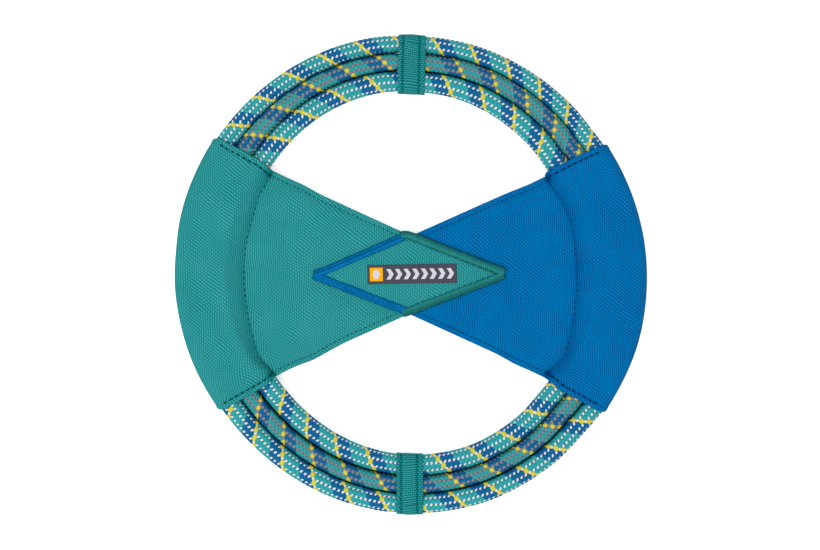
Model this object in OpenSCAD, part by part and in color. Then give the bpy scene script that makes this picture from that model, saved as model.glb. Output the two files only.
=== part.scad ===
// Soft flying ring: three braided rope loops lie side by side, two cloth wings are sewn
// round them and cross at the waist, and two cloth bands tie the bare ropes together.
// The ring lies flat: +Z is up, +Y points from the waist to the upper band, and the
// origin is on the surface that the ring rests on, under its centre.

/* [Ring] */
// Diameter over the outer rope
ring_d = 236; // [220:1:260]
// Diameter of each rope
rope_d = 9.5; // [8.5:0.1:10]
// Diameter of the foam core inside each rope
core_d = 7.1; // [5:0.1:7.5]

/* [Cloth] */
// Thickness of a cloth panel
cloth_t = 0.9; // [0.6:0.1:1]
// Half height of a wing's edge at the waist
waist_h = 20.3; // [18:0.1:24]
// Angle of a wing's edge to the line through both wings
wing_angle = 25.1; // [22:0.1:28]
// Radius of the seam that closes the rope channel
channel_r = 85.5; // [83:0.5:87]
// Width of a band along the ropes
band_w = 13.6; // [10:0.1:18]

/* [Waist] */
// Length of the blue tip that crosses the teal wing
tip_l = 48.5; // [44:0.5:54]
// Length of the patch's right half
patch_l = 47.5; // [44:0.5:54]
// Half height of the patch
patch_h = 22.4; // [20:0.1:24]
// Width of the folded edges of the tip and the patch
fold_w = 4.3; // [3:0.1:5]
// Length of the sewn label
label_l = 44; // [36:1:48]
// Height of the sewn label
label_h = 9.6; // [8:0.1:12]

/* [Stitches] */
// Length of one stitch
stitch_l = 2.4; // [2:0.1:2.6]
// Distance from one stitch to the next
stitch_pitch = 3.2; // [3:0.1:4]
// Distance from a cloth edge to its row of stitches
stitch_inset = 2.7; // [2.2:0.1:3.5]

/* [Hidden] */
$fn = 96;

rope_r = rope_d / 2;
cloth_gap = 0.1;                    // free play between a rope and the cloth round it
lining_r = rope_r + cloth_gap;      // inside of the cloth, from a rope's centre
skin_r = lining_r + cloth_t;        // outside of the cloth, from a rope's centre
mid_z = skin_r;                     // height of the ropes' centres
outer_r = ring_d / 2 - rope_r;      // centre lines of the three ropes
middle_r = outer_r - rope_d;
inner_r = middle_r - rope_d;
web_r = channel_r - 1.5;            // where a wing's channel meets its flat web
reach = ring_d;                     // longer than anything in the ring
edge_slope = tan(wing_angle);

// Rope ends meet inside the wings, under a thin sleeve
joint_l = 24;                       // length of the sleeve
joint_t = 0.4;                      // its thickness
joint_gap = 0.6;                    // gap between the two ends of a rope
core_play = 0.05;                   // between a core and its sheath
core_r = core_d / 2;
bore_r = core_r + core_play;

// Layers of the waist, above the middle plane
tip_z = cloth_t;                    // the blue tip lies on the teal wing
patch_z = 2 * cloth_t;              // the patch lies on the blue tip
label_z = 3 * cloth_t;              // the label lies on the patch
label_t = 0.5;
hem_rise = 0.25;                    // the patch's folded edges stand above it by this
seam_play = 0.1;                    // between pieces that lie side by side

// Thread lies in grooves, so that it is flush with the cloth
thread_r = 0.24;
groove_w = 0.6;
groove_depth = 0.52;
label_thread_r = 0.14;
rim_thread_r = 0.28;

teal = [0.13, 0.53, 0.51];
blue = [0.0, 0.44, 0.70];
aqua = [0.10, 0.65, 0.64];
grey = [0.45, 0.47, 0.51];
dark_teal = [0.05, 0.27, 0.27];
dark_blue = [0.02, 0.20, 0.36];
charcoal = [0.24, 0.24, 0.27];

function arc_angle(length, radius) = length / radius * 180 / PI;

// Places a piece above or below the middle plane, on the right or the left
module placed(left = false, back = false) {
  translate([0, 0, mid_z])
    mirror([left ? 1 : 0, 0, 0])
      mirror([0, 0, back ? 1 : 0])
        children();
}

// ---------- Ropes ----------

// A round bar or tube bent into part of a loop, from angle a0 over sweep degrees
module loop_part(radius, r_out, r_in, a0, sweep) {
  translate([0, 0, mid_z])
    rotate([0, 0, a0])
      rotate_extrude(angle = sweep)
        translate([radius, 0])
          difference() {
            circle(r_out);
            if (r_in > 0) circle(r_in);
          }
}

// The braided cover, drawn in under the sleeve at both ends
module rope_sheath(radius, joint_a) {
  gap_a = arc_angle(joint_gap, radius);
  neck_a = arc_angle(joint_l / 2, radius);
  difference() {
    loop_part(radius, rope_r, bore_r, joint_a + gap_a / 2, 360 - gap_a);
    loop_part(radius, rope_r + 0.2, rope_r - joint_t - core_play, joint_a - neck_a, 2 * neck_a);
  }
}

module rope_core(radius, joint_a) {
  gap_a = arc_angle(joint_gap, radius);
  loop_part(radius, core_r, 0, joint_a + gap_a / 2, 360 - gap_a);
}

module rope_joint(radius, joint_a) {
  half_a = arc_angle(joint_l / 2 - core_play, radius);
  loop_part(radius, rope_r, rope_r - joint_t, joint_a - half_a, 2 * half_a);
}

// ---------- Thread ----------

module stitch(length = stitch_l, r = thread_r) {
  rotate([0, 90, 0]) cylinder(r = r, h = length, center = true);
}

// A straight row of stitches from the origin along +X, just under z = 0
module stitch_row(length, r = thread_r) {
  count = floor((length - stitch_l) / stitch_pitch) + 1;
  first = (length - (count - 1) * stitch_pitch) / 2;
  for (i = [0 : count - 1])
    translate([first + i * stitch_pitch, 0, -r - 0.02]) stitch(stitch_l, r);
}

module groove(length, width = groove_w, depth = groove_depth) {
  translate([0, -width / 2, -depth]) cube([length, width, depth + 1]);
}

// ---------- Wings ----------

edge_row_x = 6;                     // where the row along a wing's edge starts
web_row_l = 64;                     // its length on the flat web
sleeve_row_s = 78.5;                // where it goes on, on top of the channel
sleeve_row_l = 17.5;
channel_row_r = web_r - 0.5;        // the seam that closes the channel
channel_row_a = 33;
rim_row_r = outer_r + lining_r + cloth_t / 2;
rim_row_a = 33;

// Plan of the right wing, open towards the rim
module wing_plan(start_x = 0.1) {
  near_h = waist_h + start_x * edge_slope;
  far_h = waist_h + reach * edge_slope;
  polygon([[start_x, near_h], [reach, far_h], [reach, -far_h], [start_x, -near_h]]);
}

// Section of the cloth over the ropes, above the middle plane, down to the web
module channel_section() {
  fall = skin_r - 0.4;              // distance of the sloping cloth from the inner rope's centre
  slope_a = asin((fall - cloth_t) / (inner_r - channel_r));
  foot_x = channel_r - cloth_t * (1 - cos(slope_a)) / sin(slope_a);
  difference() {
    union() {
      translate([outer_r, 0]) circle(skin_r);
      translate([inner_r, 0]) square([outer_r - inner_r, skin_r]);
      translate([inner_r, 0]) circle(skin_r);
      polygon([
        [inner_r, 0], [inner_r - fall * sin(slope_a), fall * cos(slope_a)],
        [foot_x, cloth_t], [web_r, cloth_t], [web_r, 0]
      ]);
    }
    translate([outer_r, 0]) circle(lining_r);
    translate([inner_r, 0]) circle(lining_r);
    translate([inner_r, -1]) square([outer_r - inner_r, lining_r + 1]);
    polygon([
      [inner_r, -1], [channel_r, -1], [channel_r, 0],
      [inner_r - (fall - cloth_t) * sin(slope_a), (fall - cloth_t) * cos(slope_a)]
    ]);
    translate([0, -reach]) square([reach, reach]);
  }
}

module along_edge(side) {
  mirror([0, side < 0 ? 1 : 0, 0])
    translate([edge_row_x, waist_h + edge_row_x * edge_slope, 0])
      rotate([0, 0, wing_angle])
        translate([0, -stitch_inset, 0])
          children();
}

module channel_groove() {
  rotate([0, 0, -channel_row_a])
    rotate_extrude(angle = 2 * channel_row_a)
      translate([channel_row_r - groove_w / 2, cloth_t - groove_depth])
        square([groove_w, groove_depth + 1]);
}

module rim_ring(r, half_a) {
  rotate([0, 0, -half_a])
    rotate_extrude(angle = 2 * half_a)
      translate([rim_row_r, 0]) circle(r);
}

// One cloth panel of the right wing, above the middle plane
module wing_panel() {
  difference() {
    intersection() {
      union() {
        rotate([0, 0, -60]) rotate_extrude(angle = 120) channel_section();
        cylinder(r = web_r + 0.5, h = cloth_t);
      }
      translate([0, 0, -1]) linear_extrude(reach) wing_plan();
    }
    rim_ring(rim_thread_r + 0.03, rim_row_a + 0.2);
    channel_groove();
    for (side = [-1, 1])
      along_edge(side) {
        translate([0, 0, cloth_t]) groove(web_row_l);
        translate([sleeve_row_s, 0, skin_r]) groove(sleeve_row_l);
      }
  }
}

module edge_thread(left) {
  for (back = [false, true], side = [-1, 1])
    placed(left, back)
      along_edge(side) {
        translate([0, 0, cloth_t]) stitch_row(web_row_l);
        translate([sleeve_row_s, 0, skin_r]) stitch_row(sleeve_row_l);
      }
}

module channel_thread(left) {
  step = arc_angle(stitch_pitch, channel_row_r);
  count = floor((channel_row_a - step / 2) / step);
  for (back = [false, true], i = [-count : count])
    placed(left, back)
      rotate([0, 0, i * step])
        translate([channel_row_r, 0, cloth_t - thread_r - 0.02])
          rotate([0, 0, 90]) stitch(2);
}

// ---------- Waist ----------

tip_h = patch_h - 1;                // half height of the tip's folded edges
tip_x = -2;                         // where they end, under the patch
tip_e = 2;                          // half height of the tip's blunt end
patch_e = 3;                        // half height of the patch's blunt end
tip_slope = (tip_h - tip_e) / (tip_l + tip_x);
patch_slope = (patch_h - patch_e) / patch_l;
tip_v = tip_l + tip_e / tip_slope;            // where the tip's two edges would meet
patch_v = patch_l + patch_e / patch_slope;    // where the patch's two edges would meet
tip_row_s = 6.8;                    // where the rows start, from those points
tip_row_l = 45;
patch_row_s = 11;
patch_row_l = 44;
patch_row_in = fold_w - 0.4;        // from the patch's edge

// How far along the axis a parallel edge lies, for an edge at this slope
function along_axis(width, slope) = width * sqrt(1 + slope * slope) / slope;

// A triangle with its point on the X axis, widening to the right
module point_right(x, slope, to) {
  polygon([[x, 0], [to, slope * (to - x)], [to, -slope * (to - x)]]);
}

// A triangle with its point on the X axis, widening to the left
module point_left(x, slope, to) {
  polygon([[x, 0], [to, slope * (x - to)], [to, -slope * (x - to)]]);
}

// Everything between two heights of x
module strip(from, to) {
  translate([from, -reach]) square([to - from, 2 * reach]);
}

// The point of the blue cloth that lies over the left wing
module tip_plan() {
  intersection() {
    point_right(-tip_v, tip_slope, tip_x);
    strip(-tip_l, reach);
  }
  intersection() {
    point_left(patch_v - along_axis(fold_w + seam_play, patch_slope), patch_slope, tip_x - 0.5);
    translate([tip_x - 0.5, -tip_h]) square([patch_l + 2 - tip_x - fold_w, 2 * tip_h]);
  }
}

module tip_fold_plan() {
  difference() {
    intersection() {
      point_right(-tip_v, tip_slope, tip_x);
      strip(-tip_l, reach);
    }
    point_right(-tip_v + along_axis(fold_w, tip_slope), tip_slope, reach);
  }
}

module along_tip(side) {
  mirror([0, side < 0 ? 1 : 0, 0])
    translate([-tip_v, 0, 0])
      rotate([0, 0, atan(tip_slope)])
        translate([tip_row_s, -fold_w / 2, 0])
          children();
}

// The blue tip with the folded strips on its two left sides
module blue_tip() {
  difference() {
    union() {
      translate([0, 0, tip_z]) linear_extrude(cloth_t) tip_plan();
      translate([0, 0, tip_z + cloth_t / 2]) linear_extrude(cloth_t * 1.5) tip_fold_plan();
    }
    for (side = [-1, 1])
      along_tip(side) translate([0, 0, label_z]) groove(tip_row_l);
  }
}

module patch_plan() {
  point_right(-tip_v + along_axis(fold_w + seam_play, tip_slope), tip_slope, tip_x + 0.2);
  intersection() {
    point_left(patch_v - 1, patch_slope, 0);
    strip(-1, patch_l - 0.5);
  }
  translate([tip_x + 0.1, -patch_h]) square([0.2 - tip_x, 2 * patch_h]);
}

module patch_hem_plan() {
  difference() {
    intersection() {
      point_left(patch_v, patch_slope, 0);
      strip(-1, patch_l);
    }
    point_left(patch_v - along_axis(fold_w, patch_slope), patch_slope, -reach);
    strip(-2, 0.3);
  }
}

module along_patch(side) {
  mirror([0, side < 0 ? 1 : 0, 0])
    translate([patch_v, 0, 0])
      rotate([0, 0, 180 - atan(patch_slope)])
        translate([patch_row_s, patch_row_in, 0])
          children();
}

// The teal patch with the folded hems on its two right sides
module waist_patch() {
  difference() {
    union() {
      translate([0, 0, patch_z]) linear_extrude(cloth_t) patch_plan();
      translate([0, 0, cloth_t]) linear_extrude(label_z + hem_rise - cloth_t) patch_hem_plan();
    }
    for (side = [-1, 1])
      along_patch(side) translate([0, 0, label_z + hem_rise]) groove(patch_row_l);
  }
}

module patch_thread() {
  for (back = [false, true], side = [-1, 1])
    placed(false, back)
      along_patch(side) translate([0, 0, label_z + hem_rise]) stitch_row(patch_row_l);
}

module tip_thread() {
  for (back = [false, true], side = [-1, 1])
    placed(false, back)
      along_tip(side) translate([0, 0, label_z]) stitch_row(tip_row_l);
}

// The label is sewn on a little askew
module on_label() {
  translate([0.7, 0.8, label_z]) rotate([0, 0, 1]) children();
}

module along_label(side) {
  on_label() translate([0.6 - label_l / 2, side * (label_h / 2 - 0.9), label_t]) children();
}

module waist_label() {
  difference() {
    on_label() translate([-label_l / 2, -label_h / 2, 0]) cube([label_l, label_h, label_t]);
    for (side = [-1, 1]) along_label(side) groove(label_l - 1.2, 0.4, 0.32);
  }
}

module label_rows() {
  for (side = [-1, 1]) along_label(side) stitch_row(label_l - 1.2, label_thread_r);
}

// ---------- Bands ----------

band_row_x = band_w / 2 - 2.5;
band_row_l = 2 * rope_d - 0.5;

module oblong(r) {
  translate([outer_r, 0]) circle(r);
  translate([inner_r, 0]) circle(r);
  translate([inner_r, -r]) square([outer_r - inner_r, 2 * r]);
}

module along_band(back, side) {
  mirror([0, 0, back ? 1 : 0])
    translate([side * band_row_x, middle_r - band_row_l / 2, skin_r])
      rotate([0, 0, 90]) children();
}

// The upper band, a cloth strap round all three ropes
module band() {
  difference() {
    intersection() {
      rotate([0, 0, 80])
        rotate_extrude(angle = 20)
          difference() {
            oblong(skin_r);
            oblong(lining_r);
          }
      translate([-band_w / 2, 0, -reach]) cube([band_w, reach, 2 * reach]);
    }
    for (back = [false, true], side = [-1, 1]) along_band(back, side) groove(band_row_l);
  }
}

module band_thread() {
  for (back = [false, true], side = [-1, 1]) along_band(back, side) stitch_row(band_row_l);
}

module at_top() { translate([0, 0, mid_z]) children(); }
module at_bottom() { translate([0, 0, mid_z]) rotate([0, 0, 180]) children(); }

// ---------- Nodes ----------

module outer_rope_sheath() { color(aqua) rope_sheath(outer_r, 180); }
module outer_rope_core() { color(charcoal) rope_core(outer_r, 180); }
module outer_rope_joint() { color(charcoal) rope_joint(outer_r, 180); }
module middle_rope_sheath() { color(grey) rope_sheath(middle_r, 0); }
module middle_rope_core() { color(charcoal) rope_core(middle_r, 0); }
module middle_rope_joint() { color(charcoal) rope_joint(middle_r, 0); }
module inner_rope_sheath() { color(aqua) rope_sheath(inner_r, 180); }
module inner_rope_core() { color(charcoal) rope_core(inner_r, 180); }
module inner_rope_joint() { color(charcoal) rope_joint(inner_r, 180); }
module left_wing_front() { color(teal) placed(true, false) wing_panel(); }
module left_wing_back() { color(teal) placed(true, true) wing_panel(); }
module right_wing_front() { color(blue) placed(false, false) { wing_panel(); blue_tip(); } }
module right_wing_back() { color(blue) placed(false, true) { wing_panel(); blue_tip(); } }
module waist_patch_front() { color(teal) placed() waist_patch(); }
module waist_patch_back() { color(teal) placed(false, true) waist_patch(); }
module waist_label_front() { color(charcoal) placed() waist_label(); }
module upper_band() { color(teal) at_top() band(); }
module lower_band() { color(teal) at_bottom() band(); }
module left_wing_edge_thread() { color(dark_teal) edge_thread(true); }
module right_wing_edge_thread() { color(dark_blue) edge_thread(false); }
module left_channel_thread() { color(dark_teal) channel_thread(true); }
module right_channel_thread() { color(dark_blue) channel_thread(false); }
module left_rim_thread() { color(dark_teal) placed(true) rim_ring(rim_thread_r, rim_row_a); }
module right_rim_thread() { color(dark_blue) placed() rim_ring(rim_thread_r, rim_row_a); }
module blue_tip_thread() { color(dark_blue) tip_thread(); }
module waist_patch_thread() { color(dark_teal) patch_thread(); }
module label_thread() { color(grey) placed() label_rows(); }
module upper_band_thread() { color(dark_teal) at_top() band_thread(); }
module lower_band_thread() { color(dark_teal) at_bottom() band_thread(); }

outer_rope_sheath();
outer_rope_core();
outer_rope_joint();
middle_rope_sheath();
middle_rope_core();
middle_rope_joint();
inner_rope_sheath();
inner_rope_core();
inner_rope_joint();
left_wing_front();
left_wing_back();
right_wing_front();
right_wing_back();
waist_patch_front();
waist_patch_back();
waist_label_front();  // waist_label
upper_band();
lower_band();
left_wing_edge_thread();
right_wing_edge_thread();
left_channel_thread();
right_channel_thread();
left_rim_thread();
right_rim_thread();
blue_tip_thread();
waist_patch_thread();
label_thread();
upper_band_thread();
lower_band_thread();
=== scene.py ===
import math

import bpy
import numpy as np
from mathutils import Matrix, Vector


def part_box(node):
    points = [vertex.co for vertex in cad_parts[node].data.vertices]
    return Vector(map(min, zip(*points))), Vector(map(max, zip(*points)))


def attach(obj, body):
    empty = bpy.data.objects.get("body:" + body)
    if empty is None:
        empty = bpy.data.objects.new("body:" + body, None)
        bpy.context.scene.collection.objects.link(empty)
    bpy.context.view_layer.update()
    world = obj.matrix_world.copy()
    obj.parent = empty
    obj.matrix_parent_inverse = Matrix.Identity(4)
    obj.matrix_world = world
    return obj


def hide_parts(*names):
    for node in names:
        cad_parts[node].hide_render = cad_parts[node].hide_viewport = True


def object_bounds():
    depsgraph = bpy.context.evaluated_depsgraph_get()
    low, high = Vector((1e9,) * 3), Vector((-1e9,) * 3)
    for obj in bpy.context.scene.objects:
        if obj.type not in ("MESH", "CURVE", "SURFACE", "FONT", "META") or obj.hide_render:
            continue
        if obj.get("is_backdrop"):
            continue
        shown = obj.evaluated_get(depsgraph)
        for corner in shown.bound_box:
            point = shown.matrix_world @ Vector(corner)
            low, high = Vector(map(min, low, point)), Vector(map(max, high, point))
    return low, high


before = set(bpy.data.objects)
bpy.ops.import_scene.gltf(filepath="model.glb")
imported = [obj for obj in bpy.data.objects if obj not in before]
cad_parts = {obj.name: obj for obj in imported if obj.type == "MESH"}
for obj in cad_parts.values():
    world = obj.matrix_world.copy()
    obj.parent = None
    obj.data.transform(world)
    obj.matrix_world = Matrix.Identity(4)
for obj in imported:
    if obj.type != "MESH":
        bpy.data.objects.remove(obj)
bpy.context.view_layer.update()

MM = 0.001

# -------- sizes in mm: the ropes' come from the frame, and the wings' follow the CAD model


def box_mm(node):
    lo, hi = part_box(node)
    return [v / MM for v in lo], [v / MM for v in hi]


lo, hi = box_mm("outer_rope_sheath")
ROPE = (hi[2] - lo[2]) / 2                       # radius of a rope
MID = (hi[2] + lo[2]) / 2                        # height of the ropes' centres
RINGS = {}
for which in ("outer", "middle", "inner"):
    RINGS[which] = box_mm(which + "_rope_sheath")[1][1] - ROPE
CLOTH = 0.45                                     # half the thickness of a cloth panel
SKIN = ROPE + 0.1 + CLOTH                        # middle of the cloth, from a rope's centre
APEX = 43.4                                      # a wing's two edges meet this far past the waist
EDGE = math.radians(25.1)                        # their angle to the wing's middle line
SEAM = 127.2                                     # the channel seam's radius, round that point
HEM = 2.7                                        # edge to stitches
START = 0.2                                      # a wing's cloth begins this far past the waist's middle


def step_to(v, a, b):
    t = np.clip((v - a) / (b - a), 0, 1)
    return t * t * (3 - 2 * t)


def bell(v, wide):
    return np.exp(-((v / wide) ** 2))


def rounded(v, wide, least=0.0):
    """The height of a round edge at the distance v from it."""
    return np.sqrt(np.clip(1 - (1 - np.clip(v / wide, 0, 1)) ** 2, least, 1))


# where the rim is pressed in or bulges: the place and its width in degrees, and how far in mm
PRESSED = ((86, 9, -0.55), (38, 5, -0.6), (317, 6, -0.7), (174, 6, -0.45),
           (203, 9, 0.3), (343, 8, 0.3), (290, 7, 0.3))


def laid(p):
    """The soft ring doesn't lie quite round, and its bare ropes spread a little towards the wings."""
    out = np.array(p, float)
    x, y = out[..., 0], out[..., 1]
    r, t = np.hypot(x, y), np.arctan2(y, x)
    oval = 0.8 + 2.6 * np.cos(t) + 4.6 * np.sin(t) - 10.8 * np.cos(2 * t) - 8 * np.sin(2 * t)
    oval = oval + 0.7 * np.sin(3 * t) + 3.5 * np.cos(4 * t)
    spread = 0.072 - 0.017 * np.cos(t) - 0.028 * np.sin(t) + 0.069 * np.cos(2 * t) + 0.016 * np.sin(2 * t)
    bare = step_to(np.abs(np.sin(t)), 0.45, 0.62)
    depth = np.clip((118 - r) / 28.5, 0, 1)
    shift = 0.001 * oval * r * step_to(r, 45, 85)
    for place, wide, much in PRESSED:
        off = (np.degrees(t) - place + 180) % 360 - 180
        shift = shift + much * bell(off, wide) * step_to(r, 80, 92)
    shift = shift - spread * (118 - r) * step_to(r, 60, 88) * bare
    below = step_to(-np.sin(t), 0.45, 0.62)
    shift = shift + (6.7 + 5.0 * np.cos(t) * (1 - below)) * depth**2 * (1 - depth) * bare
    shift = shift - 4.6 * depth * (1 - depth) ** 2 * below
    k = 1 + shift / np.maximum(r, 1)
    out[..., 0], out[..., 1] = x * k, y * k
    return out


# -------- meshes


def volume(verts, polys):
    """Above 0 where the faces look outwards."""
    total = 0.0
    for p in polys:
        for i in range(1, p.shape[1] - 1):
            a, b, c = verts[p[:, 0]], verts[p[:, i]], verts[p[:, i + 1]]
            total += float((a * np.cross(b, c)).sum())
    return total


def linked(name, data):
    ob = bpy.data.objects.new(name, data)
    bpy.context.scene.collection.objects.link(ob)
    return ob


def mesh_object(name, verts, polys, mats, ids=None, attrs=None, smooth=True):
    """A mesh from points in mm and polygons given as arrays of equal-sided rows."""
    me = bpy.data.meshes.new(name)
    verts = laid(verts) * MM
    me.vertices.add(len(verts))
    me.vertices.foreach_set("co", verts.astype(np.float32).ravel())
    polys = [np.asarray(p, np.int32) for p in polys if len(p)]
    if volume(verts, polys) < 0:
        polys = [p[:, ::-1] for p in polys]
    loops = np.concatenate([p.ravel() for p in polys])
    sizes = np.concatenate([np.full(len(p), p.shape[1], np.int32) for p in polys])
    starts = np.concatenate([[0], np.cumsum(sizes)[:-1]]).astype(np.int32)
    me.loops.add(len(loops))
    me.loops.foreach_set("vertex_index", loops)
    me.polygons.add(len(sizes))
    me.polygons.foreach_set("loop_start", starts)
    if ids is not None:
        me.polygons.foreach_set("material_index", np.asarray(ids, np.int32))
    me.polygons.foreach_set("use_smooth", np.full(len(sizes), smooth))
    me.update(calc_edges=True)
    me.validate()
    for key, value in (attrs or {}).items():
        layer = me.attributes.new(key, "FLOAT_VECTOR", "POINT")
        layer.data.foreach_set("vector", np.asarray(value, np.float32).ravel())
    for m in mats:
        me.materials.append(m)
    return linked(name, me)


def piece(ob, slot, *nodes):
    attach(ob, "root")
    if nodes:
        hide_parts(*nodes)
    return ob


def grid_faces(nr, nc, start, wrap_r=False, wrap_c=False):
    r = np.arange(nr if wrap_r else nr - 1)[:, None]
    c = np.arange(nc if wrap_c else nc - 1)[None, :]
    r2, c2 = (r + 1) % nr, (c + 1) % nc
    q = np.stack([r * nc + c, r * nc + c2, r2 * nc + c2, r2 * nc + c], -1)
    return q.reshape(-1, 4) + start


def slab(top, bottom, loop=False):
    """A closed body between two grids of points; loop joins its first and last rows."""
    nr, nc = top.shape[:2]
    n = nr * nc
    f_top = grid_faces(nr, nc, 0, wrap_r=loop)
    f_bot = grid_faces(nr, nc, n, wrap_r=loop)[:, ::-1]
    i = np.arange(nr if loop else nr - 1)
    j = (i + 1) % nr
    left = np.stack([i * nc, j * nc, j * nc + n, i * nc + n], -1)
    right = np.stack([i * nc, i * nc + n, j * nc + n, j * nc], -1)
    walls = [left, right + nc - 1]
    if not loop:
        k = np.arange(nc - 1)
        first = np.stack([k, k + n, k + 1 + n, k + 1], -1)
        last = np.stack([k, k + 1, k + 1 + n, k + n], -1) + (nr - 1) * nc
        walls += [first, last]
    faces = np.concatenate([f_top, f_bot, *walls])
    return np.concatenate([top.reshape(-1, 3), bottom.reshape(-1, 3)]), faces


def mirrored(g, side, face, height=0.0):
    """Turns a right front panel's points or vectors into another panel's, in place."""
    g[..., 0] *= side
    g[..., 2] = g[..., 2] * face + height


def unit(v):
    return v / np.maximum(np.linalg.norm(v, axis=-1, keepdims=True), 1e-9)


def run_of(line):
    """How far along a line each of its points is."""
    return np.concatenate([[0], np.cumsum(np.linalg.norm(np.diff(line, axis=0), axis=1))])


def picked(line, run, at):
    """The points of a line at the distances at along it."""
    return np.stack([np.interp(at, run, line[:, i]) for i in range(line.shape[1])], -1)


def as_x(values):
    """Numbers as the first part of vectors, which is how the attribute called crease is read."""
    return values[..., None] * np.array([1.0, 0.0, 0.0])


def outwards(t):
    """Flat unit vectors at the angles t round the ring."""
    return np.stack([np.cos(t), np.sin(t), np.zeros_like(t)], -1)


def frames(lines, ups):
    """Unit vectors across lines of points, and out from them near the directions ups."""
    along = unit(np.gradient(lines, axis=-2))
    across = unit(np.cross(along, ups))
    return across, unit(np.cross(across, along))


def beside(line):
    """Unit vectors to the left of a line in plan."""
    return unit(np.stack([-np.gradient(line[:, 1]), np.gradient(line[:, 0])], -1))


def straight_up(line, face):
    return np.broadcast_to([0.0, 0.0, float(face)], line.shape)


def circle(n):
    a = np.linspace(0, 2 * np.pi, n, endpoint=False)
    return np.stack([np.cos(a), np.sin(a)], -1)


def normals_of(grid):
    return unit(np.cross(np.gradient(grid, axis=1), np.gradient(grid, axis=0)))


def tubes(lines, across, out, sections, closed=False):
    """Tubes along many lines at once. lines is (n, m, 3) and sections is (n, m, s, 2)."""
    n, m, s = sections.shape[:3]
    ring = lines[:, :, None] + across[:, :, None] * sections[..., :1]
    ring = ring + out[:, :, None] * sections[..., 1:]
    verts = ring.reshape(-1, 3)
    base = (np.arange(n) * m * s)[:, None, None]
    i = np.arange(m if closed else m - 1)[None, :, None]
    k = np.arange(s)[None, None, :]
    i2, k2 = (i + 1) % m, (k + 1) % s
    q = np.stack([base + i * s + k, base + i * s + k2, base + i2 * s + k2, base + i2 * s + k], -1)
    caps = []
    if not closed:
        b = (np.arange(n) * m * s)[:, None]
        caps = [b + np.arange(s)[::-1], b + (m - 1) * s + np.arange(s)]
    return verts, q.reshape(-1, 4), caps


# -------- materials


class Nodes:
    """Short ways to add nodes to a material and to join them."""

    def __init__(self, name, rough, gloss=0.3):
        self.mat = bpy.data.materials.new(name)
        self.mat.use_nodes = True
        self.tree = self.mat.node_tree
        self.shader = self.tree.nodes["Principled BSDF"]
        self.shader.inputs["Roughness"].default_value = rough
        self.shader.inputs["Specular IOR Level"].default_value = gloss

    def put(self, socket, value):
        if isinstance(value, bpy.types.NodeSocket):
            self.tree.links.new(value, socket)
        else:
            socket.default_value = value

    def add(self, kind, ins=None, **props):
        node = self.tree.nodes.new("ShaderNode" + kind)
        for key, value in props.items():
            setattr(node, key, value)
        for key, value in (ins or {}).items():
            self.put(node.inputs[key], value)
        return node

    def math(self, op, a, b=0.0, c=0.0):
        return self.add("Math", {0: a, 1: b, 2: c}, operation=op).outputs[0]

    def times(self, a, b):
        return self.math("MULTIPLY", a, b)

    def scale(self, colour, factor):
        node = self.add("VectorMath", {0: colour}, operation="SCALE")
        self.put(node.inputs["Scale"], factor)
        return node.outputs[0]

    def field(self, name):
        got = self.add("Attribute", attribute_name=name).outputs["Vector"]
        xyz = self.add("SeparateXYZ", {0: got}).outputs
        return got, xyz[0], xyz[1], xyz[2]

    def noise(self, vector, scale, detail):
        ins = {"Vector": vector, "Scale": scale, "Detail": detail}
        return self.add("TexNoise", ins).outputs[0]

    def between(self, value, low, high, to_low, to_high):
        ins = {0: value, 1: low, 2: high, 3: to_low, 4: to_high}
        return self.add("MapRange", ins).outputs[0]

    def shaded(self, *spans):
        """The product of values, each of them stretched from one range to another."""
        shade = self.between(*spans[0])
        for span in spans[1:]:
            shade = self.times(shade, self.between(*span))
        return shade

    def fibres(self, at):
        fine = self.add("VectorMath", {0: at, 1: (5.0, 5.0, 5.0)}, operation="MULTIPLY")
        return self.noise(fine.outputs[0], 1.4, 3.0)

    def swayed(self, value, at, scale, detail, much):
        off = self.math("SUBTRACT", self.noise(at, scale, detail), 0.5)
        return self.math("MULTIPLY_ADD", off, much, value)

    def bump(self, height, distance, strength):
        ins = {"Height": height, "Distance": distance, "Strength": strength}
        return self.add("Bump", ins).outputs[0]

    def painted_shade(self, shade, speck=None):
        """Darker by the painted shade in the attribute called crease: in grooves, seams and creases, between
        ropes, under folds and on sides turned from the light; patchy where speck is given.
        """
        dark = self.field("crease")[1]
        if speck is not None:
            dark = self.times(dark, self.between(speck, 0.35, 0.65, 0.45, 1.5))
        return self.times(shade, self.math("SUBTRACT", 1.0, dark))

    def done(self, colour, normal=None):
        self.put(self.shader.inputs["Base Color"], colour)
        if normal is not None:
            self.put(self.shader.inputs["Normal"], normal)
        return self.mat


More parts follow.
